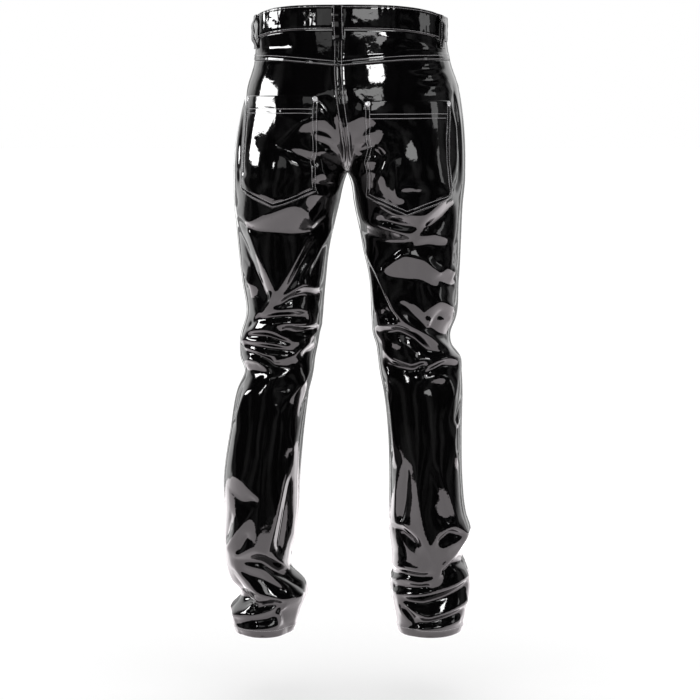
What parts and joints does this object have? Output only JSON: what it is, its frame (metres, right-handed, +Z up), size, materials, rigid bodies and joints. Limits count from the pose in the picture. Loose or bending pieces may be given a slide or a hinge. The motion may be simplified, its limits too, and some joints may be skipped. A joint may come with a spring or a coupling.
{
  "type": "latex trousers",
  "caption": "High-gloss black latex-look trousers in a slim five-pocket jeans cut, worn and hollow, with back yoke, patch pockets and belt loops.",
  "frame": {"origin": "middle of the waist, level with the seam under the waistband, where the wearer holds the trousers up", "axes": "+Z up, -Y towards the front of the trousers, +X towards the wearer's left"},
  "size_m": [0.4121, 0.2506, 1.0344],
  "materials": {
    "gloss_cloth": "high gloss",
    "rivet_metal": "polished"
  },
  "bodies": {
    "root": {"front_panel_left": "gloss_cloth", "front_panel_right": "gloss_cloth", "back_panel_left": "gloss_cloth", "back_panel_right": "gloss_cloth", "back_yoke_left": "gloss_cloth", "back_yoke_right": "gloss_cloth", "waistband": "gloss_cloth", "pocket_facing_left": "gloss_cloth", "pocket_facing_right": "gloss_cloth", "fly_shield": "gloss_cloth", "back_pocket_left": "gloss_cloth", "back_pocket_right": "gloss_cloth", "belt_loop_back": "gloss_cloth", "belt_loop_side_left": "gloss_cloth", "belt_loop_side_right": "gloss_cloth", "belt_loop_front_left": "gloss_cloth", "belt_loop_front_right": "gloss_cloth", "rivet_inner_left": "rivet_metal", "rivet_outer_left": "rivet_metal", "rivet_inner_right": "rivet_metal", "rivet_outer_right": "rivet_metal", "waist_button": "rivet_metal"}
  },
  "joints": []
}
